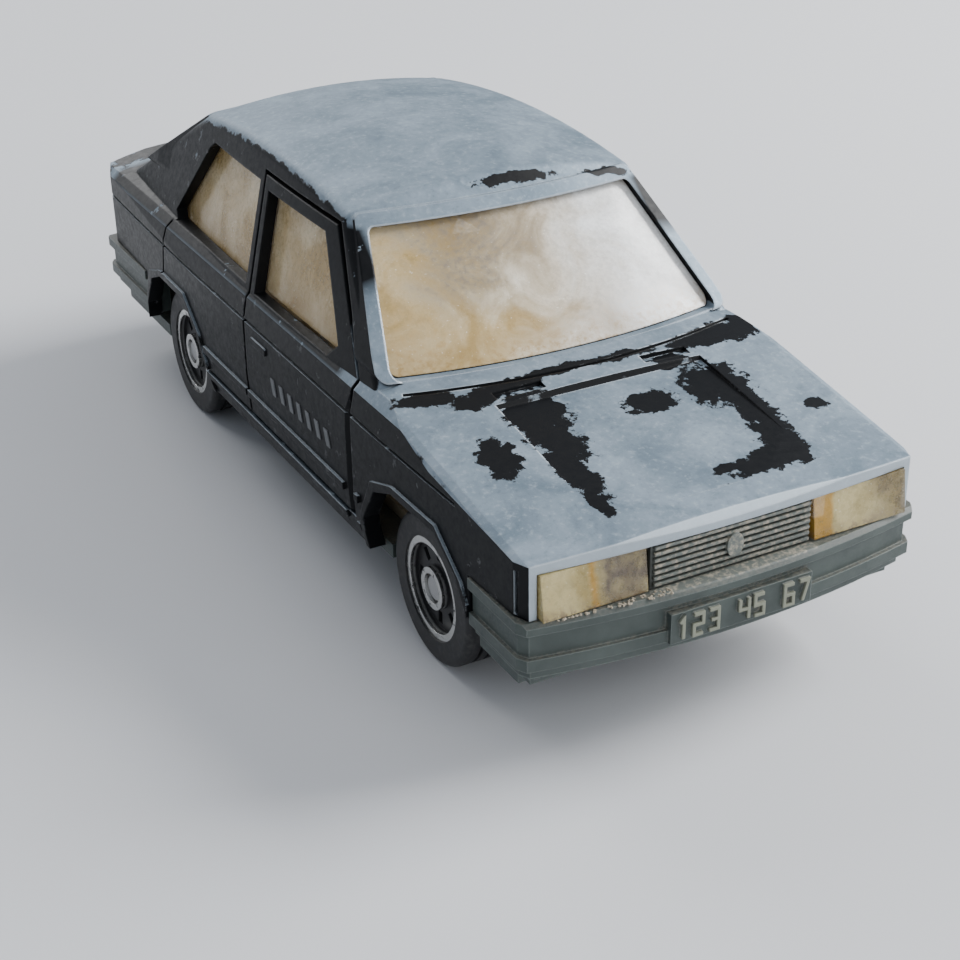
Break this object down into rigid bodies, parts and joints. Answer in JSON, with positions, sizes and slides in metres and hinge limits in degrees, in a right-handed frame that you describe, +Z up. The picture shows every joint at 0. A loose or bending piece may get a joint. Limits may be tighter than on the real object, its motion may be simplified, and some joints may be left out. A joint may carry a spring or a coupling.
{
  "type": "diecast collector car",
  "caption": "Small-scale diecast four-door saloon toy car with opening front doors, sprung axles and free-rolling wheels, its black paint worn back to bare metal.",
  "frame": {"origin": "on the ground under the middle of the car", "axes": "+Z up, -Y towards the front of the car, +X towards the car's left side"},
  "size_m": [0.0274, 0.0732, 0.0253],
  "materials": {
    "bare_zinc": "bare zinc alloy casting with remains of gloss black paint",
    "grey_plastic": "dusty grey-green moulded plastic",
    "yellowed_clear": "clear plastic, yellowed and crazed",
    "yellowed_lens": "clear plastic lens, yellowed with an amber band",
    "cream_plastic": "cream moulded plastic",
    "spring_steel": "plain strip",
    "axle_steel": "drawn wire",
    "black_tyre": "black moulded plastic tyre",
    "bright_hub": "hot-stamped bright plastic, worn"
  },
  "bodies": {
    "body": {"body_shell": "bare_zinc", "base_plate": "grey_plastic", "glazing": "yellowed_clear", "headlamp_lenses": "yellowed_lens", "interior_tub": "cream_plastic", "front_leaf_spring": "spring_steel", "rear_leaf_spring": "spring_steel"},
    "door_left": {"door_left": "bare_zinc"},
    "door_right": {"door_right": "bare_zinc"},
    "front_axle": {"front_axle": "axle_steel"},
    "rear_axle": {"rear_axle": "axle_steel"},
    "front_left_wheel": {"front_left_tyre": "black_tyre", "front_left_hub": "bright_hub"},
    "front_right_wheel": {"front_right_tyre": "black_tyre", "front_right_hub": "bright_hub"},
    "rear_left_wheel": {"rear_left_tyre": "black_tyre", "rear_left_hub": "bright_hub"},
    "rear_right_wheel": {"rear_right_tyre": "black_tyre", "rear_right_hub": "bright_hub"}
  },
  "joints": [
    {"name": "door_left_hinge", "type": "hinge", "parent": "body", "child": "door_left", "pos_m": [0.0124, -0.0125, 0.0095], "axis": [0, 0, -1], "range_deg": [0, 60]},
    {"name": "door_right_hinge", "type": "hinge", "parent": "body", "child": "door_right", "pos_m": [-0.0124, -0.0125, 0.0095], "axis": [0, 0, 1], "range_deg": [0, 60]},
    {"name": "front_suspension", "type": "slide", "parent": "body", "child": "front_axle", "axis": [0, 0, 1], "range_m": [0, 0.001], "stiffness_N_per_m": 60, "springref_m": -0.004, "deforming": ["front_leaf_spring"]},
    {"name": "rear_suspension", "type": "slide", "parent": "body", "child": "rear_axle", "axis": [0, 0, 1], "range_m": [0, 0.001], "stiffness_N_per_m": 60, "springref_m": -0.004, "deforming": ["rear_leaf_spring"]},
    {"name": "front_left_wheel_spin", "type": "hinge", "parent": "front_axle", "child": "front_left_wheel", "pos_m": [0.011, -0.0223, 0.0049], "axis": [1, 0, 0], "continuous": true},
    {"name": "front_right_wheel_spin", "type": "hinge", "parent": "front_axle", "child": "front_right_wheel", "pos_m": [-0.011, -0.0223, 0.0049], "axis": [1, 0, 0], "continuous": true},
    {"name": "rear_left_wheel_spin", "type": "hinge", "parent": "rear_axle", "child": "rear_left_wheel", "pos_m": [0.011, 0.0184, 0.0049], "axis": [1, 0, 0], "continuous": true},
    {"name": "rear_right_wheel_spin", "type": "hinge", "parent": "rear_axle", "child": "rear_right_wheel", "pos_m": [-0.011, 0.0184, 0.0049], "axis": [1, 0, 0], "continuous": true}
  ]
}
